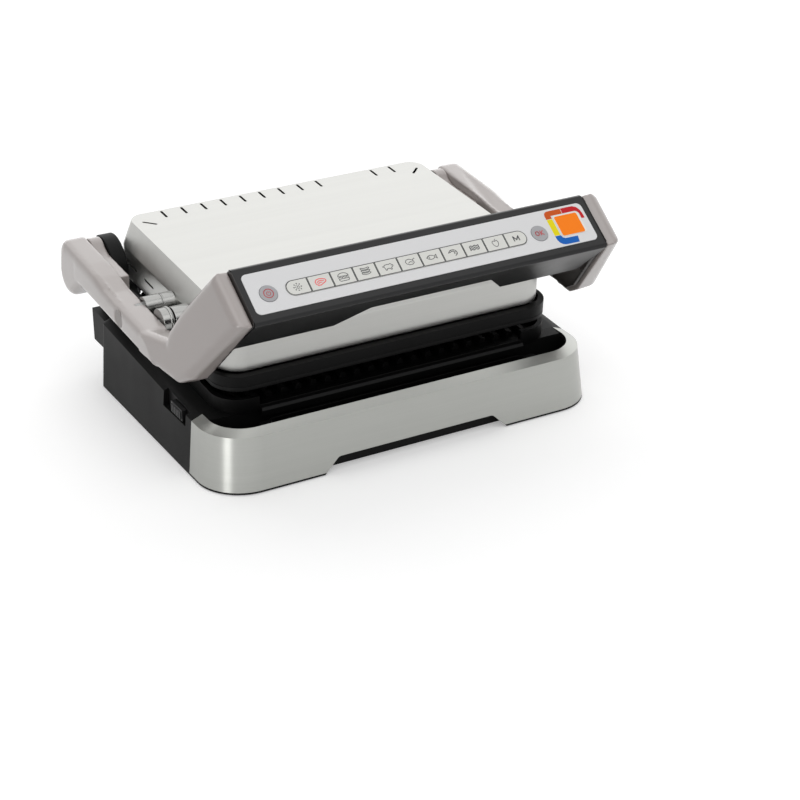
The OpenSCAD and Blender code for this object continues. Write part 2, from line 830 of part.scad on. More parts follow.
// a convex plate from x0 to x1 with a rounded outer edge and a small inner one
module soft_plate(x0, x1, r, r0) {
  hull() {
    across(eps, x0) offset(delta = -r0) children();
    across(eps, x0 + r0) children();
    for (a = [0:22.5:90])
      across(eps, x1 - r + r * sin(a)) offset(delta = -r * (1 - cos(a))) children();
  }
}

// turns the riser inward about the bend line at x
module bent(x, a) {
  translate([x, bend_u, bend_w]) rotate(a = -a, v = [0, bend_dir[0], bend_dir[1]])
    translate([-x, -bend_u, -bend_w]) children();
}

// everything inside the inner face of an arm, moved inward by g
module inside_of_arm(g) {
  intersection() {
    translate([-10, -300, 0]) cube([arm_in - g + 10, 700, 400]);
    bent(arm_in - g, riser_deg - 3.94) translate([-60, -500, -300]) cube([arm_in - g + 60, 900, 900]);
  }
}

module arm_shell() {
  difference() {
    union() {
      difference() {
        translate([0, hinge_u - 20, 0]) rotate([90, 0, 0]) linear_extrude(hinge_u + 60) bar_section();
        across(80, arm_out - 20) past_bend();
      }
      soft_plate(arm_in, arm_out, arm_r, 1.5) hook_outline();
      difference() {
        bent(arm_out, riser_deg) {
          soft_plate(arm_in - 14, arm_out, arm_r, 1.5) riser_blade();
          soft_plate(arm_in - 14, arm_out, arm_r, 1.5) riser_foot();
        }
        inside_of_arm(0);
        translate([arm_out, -300, 0]) cube([50, 600, 300]);
      }
    }
    // pin bores and the seat of the round cap
    bar_x(arm_in - 5, arm_in + 8, pin_r + 0.02, hinge_u, hinge_w);
    bar_x(arm_in - 5, arm_in + 8, float_pin_r + 0.02, float_u, float_w);
    bar_x(arm_in - 5, arm_in + 4, stop_pin_r + 0.02, stop_u, stop_w);
    bar_x(arm_out - 1.6, arm_out + 5, cap_r + 0.1, float_u, cap_w);
  }
}

module right_arm() {
  color(taupe) leaned() arm_shell();
}

module left_arm() {
  color(taupe) mirror([1, 0, 0]) leaned() arm_shell();
}

module riser_lining() {
  difference() {
    union() {
      // lining of the riser
      intersection() {
        across(60, arm_in - 20) offset(delta = -2.5) riser_blade();
        difference() {
          inside_of_arm(0.02);
          inside_of_arm(lining_t);
        }
      }
      // bulkhead at the end of the beam
      intersection() {
        across(40, beam_hl + 20) offset(delta = -0.6) beam_section();
        inside_of_arm(0.02);
      }
    }
    translate([-10, -300, 0]) cube([beam_hl + 10 + eps, 700, 400]);
  }
}

module right_riser_lining() {
  color(black) leaned() riser_lining();
}

module left_riser_lining() {
  color(black) mirror([1, 0, 0]) leaned() riser_lining();
}

// inner boss that rises over the hinge
module boss_outline() {
  offset(r = -20) offset(r = 20) {
    translate([hinge_u, hinge_w]) circle(hook_r - 0.5);
    translate([hinge_u + 1, hinge_w + 15.6]) circle(12);
    translate([hinge_u - 60, arm_w0 + 1]) square([60, arm_h - 3.4]);
  }
}

module hinge_boss() {
  difference() {
    across(arm_in - boss_in - 0.02, (arm_in + boss_in) / 2 - 0.01) boss_outline();
    bar_x(boss_in - 1, arm_in + 1, pin_r + 0.02, hinge_u, hinge_w);
  }
}

module right_hinge_boss() {
  color(taupe) leaned() hinge_boss();
}

module left_hinge_boss() {
  color(taupe) mirror([1, 0, 0]) leaned() hinge_boss();
}

module arm_caps() {
  color("#a8a19f") leaned() both()
    bar_x(arm_out - 1.6, arm_out - 0.3, cap_r, float_u, cap_w);
}

module hinge_pins() {
  color("#8f9193") leaned() both() bar_x(tower_in + 0.6, arm_in + 7.6, pin_r, hinge_u, hinge_w);
}

// ---- pivots between the arms and the floating upper plate ----

float_face = cover_hw + (arm_in - cover_hw) * 0.42;
stop_face = cover_hw + (arm_in - cover_hw) * 0.58;

module float_pins() {
  color("#8f9193") leaned() both() bar_x(cover_hw + 2, arm_in + 7.6, float_pin_r, float_u, float_w);
}

// sleeve with a fine rim at its free end
module arm_sleeves() {
  color("#d4d4d2") leaned() both() difference() {
    union() {
      bar_x(float_face + face_gap, arm_in, sleeve_r - 0.3, float_u, float_w);
      bar_x(float_face + face_gap + 1, arm_in, sleeve_r, float_u, float_w);
    }
    bar_x(float_face - 1, arm_in + 1, float_pin_r + 0.02, float_u, float_w);
  }
}

module cover_sleeves() {
  color("#d4d4d2") leaned() both() difference() {
    union() {
      bar_x(cover_hw + eps, float_face, sleeve_r - 0.3, float_u, float_w);
      bar_x(cover_hw + eps, float_face - 1, sleeve_r, float_u, float_w);
    }
    bar_x(cover_hw + 1.9, float_face + 1, float_pin_r + run_gap, float_u, float_w);
  }
}

module stop_tubes_arm() {
  color("#d4d4d2") leaned() both() {
    bar_x(stop_face + 1.6, arm_in, stop_r - 0.8, stop_u, stop_w);
    bar_x(stop_face + 2.6, stop_face + 4.4, stop_r, stop_u, stop_w);
    bar_x(cover_hw + 3, arm_in + 3.6, stop_pin_r, stop_u, stop_w);
  }
}

module stop_tubes_cover() {
  color("#d4d4d2") leaned() both() difference() {
    bar_x(cover_hw + eps, stop_face, stop_r - 1.4, stop_u, stop_w);
    bar_x(cover_hw + 2, stop_face + 1, stop_pin_r + stop_play, stop_u, stop_w);
  }
}

// ---- control beam ----

module beam_section() {
  offset(r = 2) offset(delta = -2)
    polygon([[face_top_u, face_top_w], [-face_front, face_low], [-face_front - 0.2, face_low - 3],
      [-face_front + 38.6, face_low - 40.1], [-face_front + 44, face_low - 37],
      [-face_front + 48, face_low - 18], [face_top_u + 6.8, face_top_w - 8],
      [face_top_u + 3.5, face_top_w - 0.8]]);
}

module beam_notch() {
  h = face_low - notch_drop - notch_foot;
  run = h * notch_run;
  translate([0, 0, notch_foot]) rotate([90, 0, 0]) linear_extrude(400, center = true)
    offset(r = 3) offset(delta = -3)
      polygon([[-notch_hw, h], [notch_hw, h], [notch_hw + run, 0], [-notch_hw - run, 0]]);
}

module beam_pocket() {
  on_face() {
    // seat of the light panel
    translate([0, panel_v0 + panel_w / 2, -panel_t]) linear_extrude(20)
      rrect(2 * panel_hl + 0.3, panel_w + 0.3, 4.65);
    // room for the board
    translate([0, panel_v0 + panel_w / 2, -board_n - 1.7]) linear_extrude(20)
      rrect(2 * panel_hl - 6, panel_w - 6, 3);
  }
}

module control_beam() {
  color("#3a3a3a") difference() {
    leaned() difference() {
      across(2 * beam_hl) beam_section();
      beam_notch();
    }
    beam_pocket();
  }
}

module key_row_hole(g) {
  translate([key_row_x, key_v]) rrect(key_row_w + 2 * g, key_h + 2 * g, key_h / 2 + g - 0.1);
}

module control_panel() {
  color("#dcdcdc") on_face() translate([0, 0, -panel_t]) difference() {
    translate([0, panel_v0 + panel_w / 2, 0]) linear_extrude(panel_t + 0.2)
      rrect(2 * panel_hl, panel_w, 4.5);
    translate([0, 0, -1]) linear_extrude(10) key_row_hole(0);
    for (x = [power_x, ok_x]) translate([x, key_v, -1]) cylinder(r = button_r + key_gap, h = 10);
    translate([lens_x, lens_v, -1]) linear_extrude(10) rrect(lens_w, lens_h, 2.4);
  }
}

module circuit_board() {
  color("#2f5a3c") on_face() translate([0, panel_v0 + panel_w / 2, -board_n - 1.6])
    linear_extrude(1.6) rrect(2 * panel_hl - 7, panel_w - 7, 2.5);
}

module indicator_lens() {
  color("#ff8a0a") on_face() translate([lens_x, lens_v, -board_n])
    linear_extrude(board_n + 0.4) rrect(lens_w - 0.1, lens_h - 0.1, 2.35);
}

// switch dome under a key, and the key cap itself
module round_button(x) {
  on_face() translate([x, key_v, 0]) {
    translate([0, 0, -panel_t]) cylinder(r = button_r, h = panel_t + 0.2 + key_out);
    translate([0, 0, -board_n + 0.9]) cylinder(r = 2, h = 1);
  }
}

module power_button() {
  color("#a8a8aa") round_button(power_x);
}

module ok_button() {
  color("#a8a8aa") round_button(ok_x);
}

module key(i) {
  color("#e6e6e2") on_face() intersection() {
    translate([key_left + i * key_pitch + key_gap / 2, key_v - key_h, -board_n + 0.9])
      cube([key_pitch - key_gap, 2 * key_h, 20]);
    union() {
      translate([0, 0, -panel_t]) linear_extrude(panel_t + 0.2 + key_out) key_row_hole(-key_gap);
      translate([key_left + (i + 0.5) * key_pitch, key_v, -board_n + 0.9]) cylinder(r = 2, h = 1);
    }
  }
}

// ---- floating upper plate ----

shoulder_a = atan(shoulder_out / shoulder_h);
fold_r = 5;
skirt_r = 1.6;

// section of the cover edge, drawn in by g: x outwards from the corner axis
module cover_profile(g, low) {
  r = cover_r - g;
  z = cover_top - shoulder_h - fold_r * tan(shoulder_a / 2);
  polygon([[0, low], for (a = [0:30:90])
    [r - skirt_r + skirt_r * sin(a), low + skirt_r - skirt_r * cos(a)],
    for (i = [0:3]) let (a = shoulder_a * i / 3)
      [r - fold_r * (1 - cos(a)), z + fold_r * sin(a)],
    [r - (shoulder_h - g) * tan(shoulder_a), cover_top - g], [0, cover_top - g]]);
}

// outer body of the cover, drawn in by g and reaching down to low
module cover_body(g, low) {
  pillow(cover_hw - g, -cover_front + g, cover_back - g, cover_r - g, low, cover_top - g)
    cover_profile(g, low);
}

module cover_slots() {
  rear = cover_back - shoulder_out - 2;
  for (i = [-6, -5, -4, -3, -2, -1, 0, 1, 2, 5, 6])
    translate([i * slot_pitch, rear - slot_len / 2, cover_top - 3]) linear_extrude(10)
      rrect(slot_w, slot_len, slot_w / 2 - 0.1);
  both() translate([crease_hw - 12.5, rear - 18, cover_top - 3]) rotate([0, 0, -45])
    linear_extrude(10) rrect(slot_w, slot_len, slot_w / 2 - 0.1);
}

module upper_cover() {
  color(steel) leaned() difference() {
    cover_body(0, cover_low);
    cover_body(cover_t, cover_low - 3);
    cover_slots();
    // oblong holes in the side walls
    both() for (i = [0, 1]) translate([cover_hw - 5, float_u + hole_back + i * hole_pitch, cover_low + hole_rise])
      rotate([90, 0, 90]) linear_extrude(10) rrect(hole_len, slot_w, slot_w / 2 - 0.1);
  }
}

// collar inside the skirt of the cover
module frame_collar() {
  translate([0, 0, cover_low - 1]) linear_extrude(8)
    plan(cover_hw - cover_t - 1, -cover_front + cover_t + 1, cover_back - cover_t - 1, cover_r - 1, cover_r - 1);
}

// opening of the upper plate and of its reflector
module frame_opening() {
  translate([0, 0, upper_rim_w - 1]) linear_extrude(80)
    plan(bed_hw, -bed_front, bed_back, plate_r - 3, plate_r - 3);
  translate([0, 0, cover_low + 1]) linear_extrude(80)
    plan(cover_hw - cover_t - 5, -cover_front + cover_t + 5, cover_back - cover_t - 5, cover_r - 4, cover_r - 4);
}

// the frame round the upper plate, as wide as the plates
module upper_frame() {
  color(black) leaned() difference() {
    union() {
      translate([0, 0, upper_rim_w + 4]) linear_extrude(cover_low - upper_rim_w - 4)
        plan(plate_hw, -plate_front, plate_back, plate_r, 6);
      frame_collar();
    }
    frame_opening();
    translate([-300, plate_back, 0]) cube([600, 100, 200]);
  }
}

// the frame behind the upper plate, between the hinge towers
module rear_frame() {
  color(black) leaned() difference() {
    union() {
      translate([0, 0, upper_rim_w + 4]) linear_extrude(cover_low - upper_rim_w - 4)
        plan(cover_hw - 1, -plate_front + 20, cover_back - 1, 10, cover_r);
      frame_collar();
    }
    frame_opening();
    translate([-300, plate_back - 400, 0]) cube([600, 400, 200]);
  }
}

module upper_reflector() {
  hw = cover_hw - cover_t - 1.5;
  top = cover_low + 7.2;
  color("#b9bbbd") leaned() difference() {
    union() {
      translate([0, 0, top]) linear_extrude(0.8)
        plan(hw, -cover_front + 3, cover_back - 3, cover_r - 2, cover_r - 2);
      translate([0, 0, upper_pan_w]) linear_extrude(top - upper_pan_w + 0.4)
        plan(bed_hw - 8, -bed_front + 8, bed_back - 8, 14, 14);
    }
    translate([0, 0, upper_pan_w + 0.8]) linear_extrude(30)
      plan(bed_hw - 8.8, -bed_front + 8.8, bed_back - 8.8, 13.2, 13.2);
  }
}

module upper_heater() {
  color("#5a5652") leaned() translate([0, 0, upper_rod_w]) rod_loop();
}

module upper_heater_clips() {
  color("#9a9c9e") leaned() translate([0, 0, upper_pan_w]) mirror([0, 0, 1])
    rod_saddles(upper_pan_w - upper_rod_w);
}

module upper_plate() {
  color("#262626") leaned() translate([0, 0, upper_rim_w + 3.8]) mirror([0, 0, 1])
    grill_plate(3.8);
}

base_shell();
front_moulding();
hinge_block();
left_hinge_tower();
right_hinge_tower();
front_wrap();
bottom_cover();
feet();
bottom_screws();
power_inlet();
lower_reflector();
lower_heater();
lower_heater_clips();
drip_tray();
lower_plate();
release_button();
left_arm();
right_arm();
left_riser_lining();
right_riser_lining();
left_hinge_boss();
right_hinge_boss();
arm_caps();
hinge_pins();
float_pins();
arm_sleeves();
stop_tubes_arm();
control_beam();
control_panel();
circuit_board();
indicator_lens();
power_button();
ok_button();
key(0);  // key_01
key(1);  // key_02
key(2);  // key_03
key(3);  // key_04
key(4);  // key_05
key(5);  // key_06
key(6);  // key_07
key(7);  // key_08
key(8);  // key_09
key(9);  // key_10
key(10);  // key_11
upper_cover();
upper_frame();
rear_frame();
upper_reflector();
upper_heater();
upper_heater_clips();
cover_sleeves();
stop_tubes_cover();
upper_plate();
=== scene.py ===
import json
import math

import bmesh
import bpy
from mathutils import Matrix, Vector


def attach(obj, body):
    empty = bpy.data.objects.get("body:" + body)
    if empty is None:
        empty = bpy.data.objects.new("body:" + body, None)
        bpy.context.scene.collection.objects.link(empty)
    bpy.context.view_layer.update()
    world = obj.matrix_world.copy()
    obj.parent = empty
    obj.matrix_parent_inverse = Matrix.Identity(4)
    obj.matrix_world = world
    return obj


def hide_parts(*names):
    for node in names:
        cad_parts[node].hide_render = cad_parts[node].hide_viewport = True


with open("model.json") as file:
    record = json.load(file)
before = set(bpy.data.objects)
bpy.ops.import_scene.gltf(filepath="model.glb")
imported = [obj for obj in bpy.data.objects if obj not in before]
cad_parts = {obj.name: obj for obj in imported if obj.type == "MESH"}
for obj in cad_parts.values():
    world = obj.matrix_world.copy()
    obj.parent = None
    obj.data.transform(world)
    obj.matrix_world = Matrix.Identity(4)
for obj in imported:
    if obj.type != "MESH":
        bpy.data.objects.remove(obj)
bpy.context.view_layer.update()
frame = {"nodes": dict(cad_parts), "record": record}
print("frame loaded:", len(frame["nodes"]), "nodes")

mm = 0.001
nodes = frame["nodes"]
bodyOf = {node: body for body, held in frame["record"]["behaviour"]["bodies"].items() for node in held}


def linear(hexValue):
    # sRGB hex to the linear colour that a shader takes
    parts = [int(hexValue[i:i + 2], 16) / 255 for i in (1, 3, 5)]
    return [p / 12.92 if p <= 0.04045 else ((p + 0.055) / 1.055) ** 2.4 for p in parts] + [1.0]


def addNode(tree, kind, settings=None, links=None):
    # one shader node: settings go to its inputs or properties, links bring other sockets in
    node = tree.nodes.new("ShaderNode" + kind)
    for name, value in (settings or {}).items():
        if isinstance(name, int) or name in node.inputs:
            node.inputs[name].default_value = value
        else:
            setattr(node, name, value)
    for name, socket in (links or {}).items():
        tree.links.new(socket, node.inputs[name])
    return node


def newMaterial(name, sockets):
    # a Principled material with its sockets set, its tree and its shader
    material = bpy.data.materials.new(name)
    material.use_nodes = True
    shader = material.node_tree.nodes["Principled BSDF"]
    for socket, value in sockets.items():
        shader.inputs[socket].default_value = value
    return material, material.node_tree, shader


def patternCoords(tree, scale=(1, 1, 1)):
    # the piece's own coordinates in metres, scaled apart where a pattern runs one way
    coords = addNode(tree, "TexCoord")
    return addNode(tree, "Mapping", {"Scale": scale}, {"Vector": coords.outputs["Object"]}).outputs["Vector"]


def wanderRoughness(tree, shader, middle, below, above, noise, noiseFrom, noiseTo):
    # the roughness follows a noise, from a little below its middle value to a little above
    rough = addNode(tree, "MapRange", {"From Min": noiseFrom, "From Max": noiseTo,
                                       "To Min": middle - below, "To Max": middle + above}, {"Value": noise})
    tree.links.new(rough.outputs["Result"], shader.inputs["Roughness"])


def addRelief(tree, shader, strength, depth, height):
    # fine relief, its depth in millimetres
    bump = addNode(tree, "Bump", {"Strength": strength, "Distance": depth * mm}, {"Height": height})
    tree.links.new(bump.outputs["Normal"], shader.inputs["Normal"])


# the belt's scratches are under 0.1 mm wide, and each look draws them at about 1 mm so that they show;
# broad bands of an uneven belt lie under them, and bandShare is their noise scale against the scratches'
brushing = {"bandShare": 0.13, "noise": (0.7, 1.3), "wander": 0.025, "tint": (0.97, 1.025), "depth": 0.04}


def brushedSteel(name, look):
    # ferritic stainless sheet, belt brushed: long fine scratches that draw the highlight out across them
    material, tree, shader = newMaterial(name, {
        "Base Color": linear(look["colour"]), "Metallic": 1.0, "Roughness": look["roughness"],
        "Anisotropic": look["anisotropic"], "Anisotropic Rotation": look["turn"]})
    coords = patternCoords(tree, [1 / (size * mm) for size in look["scratch"]])
    fine = addNode(tree, "TexNoise", {"Scale": 1.0, "Detail": 3.0, "Roughness": 0.65}, {"Vector": coords})
    bands = addNode(tree, "TexNoise", {"Scale": brushing["bandShare"], "Detail": 1.0}, {"Vector": coords})
    both = addNode(tree, "Math", {"operation": "ADD"}, {0: fine.outputs["Fac"], 1: bands.outputs["Fac"]})
    noiseFrom, noiseTo = brushing["noise"]
    tint = addNode(tree, "MapRange", {"From Min": noiseFrom, "From Max": noiseTo,
                                      "To Min": brushing["tint"][0], "To Max": brushing["tint"][1]},
                   {"Value": both.outputs["Value"]})
    colour = addNode(tree, "Mix", {"data_type": "RGBA", "blend_type": "MULTIPLY", 0: 1.0,
                                   6: linear(look["colour"])}, {7: tint.outputs["Result"]})
    tree.links.new(colour.outputs[2], shader.inputs["Base Color"])
    wanderRoughness(tree, shader, look["roughness"], brushing["wander"], brushing["wander"],
                    both.outputs["Value"], noiseFrom, noiseTo)
    addRelief(tree, shader, look["relief"], brushing["depth"], fine.outputs["Fac"])
    return material


# the mould's grain is about 0.1 mm, and each look draws it coarser so that it shows;
# cloud is the size in mm of the patches where hands and flow lines leave the surface duller
moulding = {"cloud": 45, "noise": (0.3, 0.7), "wander": 0.04, "depth": 0.1}


def mouldedPlastic(name, look):
    # moulded thermoplastic or rubber: an even colour with the fine spark-eroded grain of its mould
    sockets = {"Base Color": linear(look["colour"]), "Roughness": look["roughness"], "IOR": 1.5,
               "Specular IOR Level": look.get("gloss", 0.5)}
    if "coat" in look:
        sockets["Coat Weight"] = look["coat"]
        sockets["Coat Roughness"] = look["coatRoughness"]
    material, tree, shader = newMaterial(name, sockets)
    coords = patternCoords(tree)
    grain = addNode(tree, "TexNoise", {"Scale": 1 / (look["grain"] * mm), "Detail": 2.0}, {"Vector": coords})
    cloud = addNode(tree, "TexNoise", {"Scale": 1 / (moulding["cloud"] * mm), "Detail": 2.0},
                    {"Vector": coords})
    wanderRoughness(tree, shader, look["roughness"], moulding["wander"], moulding["wander"],
                    cloud.outputs["Fac"], *moulding["noise"])
    addRelief(tree, shader, look["relief"], moulding["depth"], grain.outputs["Fac"])
    return material


# the tool's rings are about 0.1 mm apart, drawn at 0.6 mm so that they show; around is how fast they
# change round the bar, against along it
turning = {"ring": 0.6, "around": 0.02, "noise": (0.3, 0.7), "duller": 0.06, "brighter": 0.04, "depth": 0.04}


def turnedMetal(name, look):
    # turned and polished bar, or rolled sheet: hairlines round the x axis
    material, tree, shader = newMaterial(name, {
        "Base Color": linear(look["colour"]), "Metallic": 1.0, "Roughness": look["roughness"]})
    coords = patternCoords(tree, (1, turning["around"], turning["around"]))
    rings = addNode(tree, "TexNoise", {"Scale": 1 / (turning["ring"] * mm), "Detail": 2.0},
                    {"Vector": coords})
    wanderRoughness(tree, shader, look["roughness"], turning["brighter"], turning["duller"],
                    rings.outputs["Fac"], *turning["noise"])
    addRelief(tree, shader, look["relief"], turning["depth"], rings.outputs["Fac"])
    return material


# a sprayed coat has pebbles of 0.3 mm, drawn at 0.9 mm so that they show; a speck lies in each 1.6 mm
spraying = {"pebble": 0.9, "speckPitch": 1.6, "speckCore": 0.05, "speckEdge": 0.12, "depth": 0.2}


def coatedCasting(name, look):
    # die-cast aluminium under a sprayed non-stick coat: dark and pebbly, with paler specks
    material, tree, shader = newMaterial(name, {
        "Base Color": linear(look["colour"]), "Roughness": look["roughness"], "IOR": 1.5,
        "Specular IOR Level": look["gloss"]})
    coords = patternCoords(tree)
    pebbles = addNode(tree, "TexNoise", {"Scale": 1 / (spraying["pebble"] * mm), "Detail": 3.0},
                      {"Vector": coords})
    specks = addNode(tree, "TexVoronoi", {"Scale": 1 / (spraying["speckPitch"] * mm)}, {"Vector": coords})
    spot = addNode(tree, "MapRange", {"From Min": spraying["speckCore"], "From Max": spraying["speckEdge"],
                                      "To Min": 1.0, "To Max": 0.0}, {"Value": specks.outputs["Distance"]})
    colour = addNode(tree, "Mix", {"data_type": "RGBA", 6: linear(look["colour"]), 7: linear(look["speck"])},
                     {0: spot.outputs["Result"]})
    tree.links.new(colour.outputs[2], shader.inputs["Base Color"])
    addRelief(tree, shader, look["relief"], spraying["depth"], pebbles.outputs["Fac"])
    return material


printing = {"speckle": 0.4, "relief": 0.05, "depth": 0.05, "roughness": 0.5, "gloss": 0.2}


def plainInk(name, hexValue, glow=0.0):
    # screen-printed or lit colour, dry and even
    sockets = {"Base Color": linear(hexValue), "Roughness": printing["roughness"],
               "Specular IOR Level": printing["gloss"]}
    if glow:
        sockets["Emission Color"] = linear(hexValue)
        sockets["Emission Strength"] = glow
    material, tree, shader = newMaterial(name, sockets)
    speckle = addNode(tree, "TexNoise", {"Scale": 1 / (printing["speckle"] * mm)},
                      {"Vector": patternCoords(tree)})
    addRelief(tree, shader, printing["relief"], printing["depth"], speckle.outputs["Fac"])
    return material


# scratch: size in mm of a scratch along x, y and z, long the way the belt ran; grain is in mm too
wrapSteel = brushedSteel("brushedSteelWrap", {
    "colour": "#aaaba7", "roughness": 0.3, "anisotropic": 0.8, "turn": 0.25, "relief": 0.025,
    "scratch": (71.4, 71.4, 0.91)})
coverSteel = brushedSteel("brushedSteelCover", {
    "colour": "#b6b6b3", "roughness": 0.32, "anisotropic": 0.0, "turn": 0.0, "relief": 0.05,
    "scratch": (71.4, 1.11, 1.11)})
blackAbs = mouldedPlastic("blackAbs", {  # matt, hardly any highlight
    "colour": "#0d0d0d", "roughness": 0.5, "gloss": 0.12, "grain": 0.7, "relief": 0.12})
frameAbs = mouldedPlastic("heatproofBlackPbt", {  # deeper black than the base: painted shade for these parts, which lie under the lid and down in the well
    "colour": "#060606", "roughness": 0.42, "gloss": 0.12, "grain": 0.6, "relief": 0.1})
beamAbs = mouldedPlastic("satinBlackAbs", {  # smooth mould, soft sheen
    "colour": "#161617", "roughness": 0.36, "gloss": 0.3, "grain": 0.5, "relief": 0.05})
liningAbs = mouldedPlastic("warmBlackAbs", {  # brownish black inside the risers
    "colour": "#25211f", "roughness": 0.4, "gloss": 0.4, "grain": 0.5, "relief": 0.05})
taupePaint = mouldedPlastic("warmGreyPaintedAbs", {  # soft paint under a clear coat, long highlights
    "colour": "#9e9693", "roughness": 0.36, "grain": 1.2, "relief": 0.02, "coat": 0.9, "coatRoughness": 0.14})
capAbs = mouldedPlastic("darkWarmGreyAbs", {  # caps in a shallow recess, coloured a shade darker than the painted arms: painted shade of the recess
    "colour": "#8a8481", "roughness": 0.42, "grain": 0.8, "relief": 0.04})
panelFilm = mouldedPlastic("lightGreyFilm", {  # printed polyester film, silky
    "colour": "#dededf", "roughness": 0.38, "grain": 0.5, "relief": 0.02})
keyPlastic = mouldedPlastic("offWhiteAbs", {
    "colour": "#dcdcd7", "roughness": 0.42, "grain": 0.5, "relief": 0.02})
discPlastic = mouldedPlastic("greyAbs", {
    "colour": "#a4a4a7", "roughness": 0.4, "grain": 0.5, "relief": 0.02})
rubber = mouldedPlastic("blackNitrileRubber", {  # dusty, no gloss
    "colour": "#151515", "roughness": 0.75, "gloss": 0.3, "grain": 0.5, "relief": 0.2})
boardEpoxy = mouldedPlastic("greenEpoxyBoard", {
    "colour": "#1f4a2c", "roughness": 0.4, "grain": 0.8, "relief": 0.1})
chromeTube = turnedMetal("chromedTube", {  # bright, mirrors the black round it; its base colour is also darkened as painted dark reflection
    "colour": "#929290", "roughness": 0.2, "relief": 0.15})
turnedPin = turnedMetal("turnedSteelPin", {"colour": "#8d8d8c", "roughness": 0.3, "relief": 0.3})
rodSteel = turnedMetal("annealedRodSteel", {  # browned by heat
    "colour": "#5c564f", "roughness": 0.45, "relief": 0.2})
plainFoil = turnedMetal("rolledAluminium", {"colour": "#c3c4c4", "roughness": 0.32, "relief": 0.1})
plateCoat = coatedCasting("nonStickCastAluminium", {
    "colour": "#050505", "speck": "#181818", "roughness": 0.42, "gloss": 0.15, "relief": 0.2})
# grey ink of the printed signs, also used as painted shade in the gaps round the keys
greyInkAndGapShade = plainInk("greyInkAndGapShade", "#4c4e50")
redLight = plainInk("redLight", "#e0575a", 0.2)
dimRed = plainInk("dimRedInk", "#c8585c")
whitePrint = plainInk("whitePrint", "#ecebe2")
orangeLight = plainInk("orangeLight", "#f07a02", 0.15)
ringRed = plainInk("ringRed", "#c4121e")
ringYellow = plainInk("ringYellow", "#ecdc08")
ringBlue = plainInk("ringBlue", "#045fb8")
ringOrange = plainInk("ringOrange", "#cc5410")
print("materials made")


def addObject(name, data):
    holder = bpy.data.objects.new(name, data)
    bpy.context.scene.collection.objects.link(holder)
    return holder


def objectFrom(bm, name, material):
    # a bmesh becomes an object at the origin, with one material
    mesh = bpy.data.meshes.new(name)
    bm.to_mesh(mesh)
    bm.free()
    mesh.materials.append(material)
    return addObject(name, mesh)


# moulded and pressed pieces: each is its CAD solid with the edges that its tool leaves
cleaning = {"mergeWithin": 0.003, "flatWithin": 0.5}  # mm and degrees


def mergedCopy(look):
    # a CAD node's mesh with its doubles merged and its flat triangles joined
    bm = bmesh.new()
    bm.from_mesh(nodes[look["node"]].data)
    bmesh.ops.remove_doubles(bm, verts=bm.verts, dist=cleaning["mergeWithin"] * mm)
    bmesh.ops.dissolve_limit(bm, angle_limit=math.radians(cleaning["flatWithin"]), verts=bm.verts,
                             edges=bm.edges)
    if "reshape" in look:
        look["reshape"](bm)
    piece = objectFrom(bm, look["name"], look["material"])
    piece.data.shade_smooth()
    return piece


def standFor(piece, look):
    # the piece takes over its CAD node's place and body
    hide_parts(look["node"])
    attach(piece, bodyOf[look["node"]])


def foldedPiece(look):
    # folded sheet: flat faces that meet in crisp lines, smooth round its corners
    piece = mergedCopy(look)
    piece.data.set_sharp_from_angle(angle=math.radians(look["sharpAbove"]))
    faces = piece.modifiers.new("faces", "WEIGHTED_NORMAL")
    faces.keep_sharp = True
    standFor(piece, look)


tooledEdge = {"segments": 2, "sharpAbove": 32}


def roundedPiece(look):
    # crisp moulding: small bevels on its edges, as wide as look["edge"] in millimetres
    piece = mergedCopy(look)
    edges = piece.modifiers.new("edges", "BEVEL")
    edges.width = look["edge"] * mm
    edges.segments = tooledEdge["segments"]
    edges.limit_method = "ANGLE"
    edges.angle_limit = math.radians(tooledEdge["sharpAbove"])
    piece.modifiers.new("faces", "WEIGHTED_NORMAL")
    standFor(piece, look)


def meltedPiece(look):
    # thick painted moulding: edges and seams flow into each other
    piece = mergedCopy(look)
    grid = piece.modifiers.new("grid", "REMESH")
    grid.mode = "VOXEL"
    grid.voxel_size = look["voxel"] * mm
    grid.use_smooth_shade = True
    relax = piece.modifiers.new("relax", "SMOOTH")
    relax.factor = 0.5
    relax.iterations = look["relax"]
    standFor(piece, look)


# plates, arms and control face lie on a slope that falls to the front: in mm, u runs rearwards up the
# slope and w square to it
slope = {"degrees": 3.66, "middle": 0.96}
rearEnd = {"from": 50, "to": 85, "rise": 4.5, "length": 70, "more": 1.6,
           "above": 100, "blend": 12, "longEdge": 25, "cuts": 6}


def raiseRearEnd(bm):
    # the arm's top swells towards the hinge; only what lies higher than "above" moves
    angle = math.radians(slope["degrees"])
    longEdges = [edge for edge in bm.edges if edge.calc_length() > rearEnd["longEdge"] * mm]
    bmesh.ops.subdivide_edges(bm, edges=longEdges, cuts=rearEnd["cuts"], use_grid_fill=True)
    for vert in bm.verts:
        y, z = vert.co.y / mm - slope["middle"], vert.co.z / mm
        u = y * math.cos(angle) + z * math.sin(angle)
        w = z * math.cos(angle) - y * math.sin(angle)
        if w > rearEnd["above"]:
            part = min(max((u - rearEnd["from"]) / (rearEnd["to"] - rearEnd["from"]), 0), 1)
            swell = part * part * (3 - 2 * part) * rearEnd["rise"]
            further = max(u - rearEnd["to"], 0) / rearEnd["length"] * rearEnd["more"]
            vert.co.z += (swell + further) * min((w - rearEnd["above"]) / rearEnd["blend"], 1) * mm


notchEnd = {"from": 40, "to": 75, "move": 7, "still": 48, "stretch": 0.2}


def longerNotch(bm):
    # the right end of the beam's notch runs out further and more gently than the left one
    for vert in bm.verts:
        x = vert.co.x / mm
        if notchEnd["from"] < x < notchEnd["to"]:
            vert.co.x += (notchEnd["move"] + (x - notchEnd["still"]) * notchEnd["stretch"]) * mm


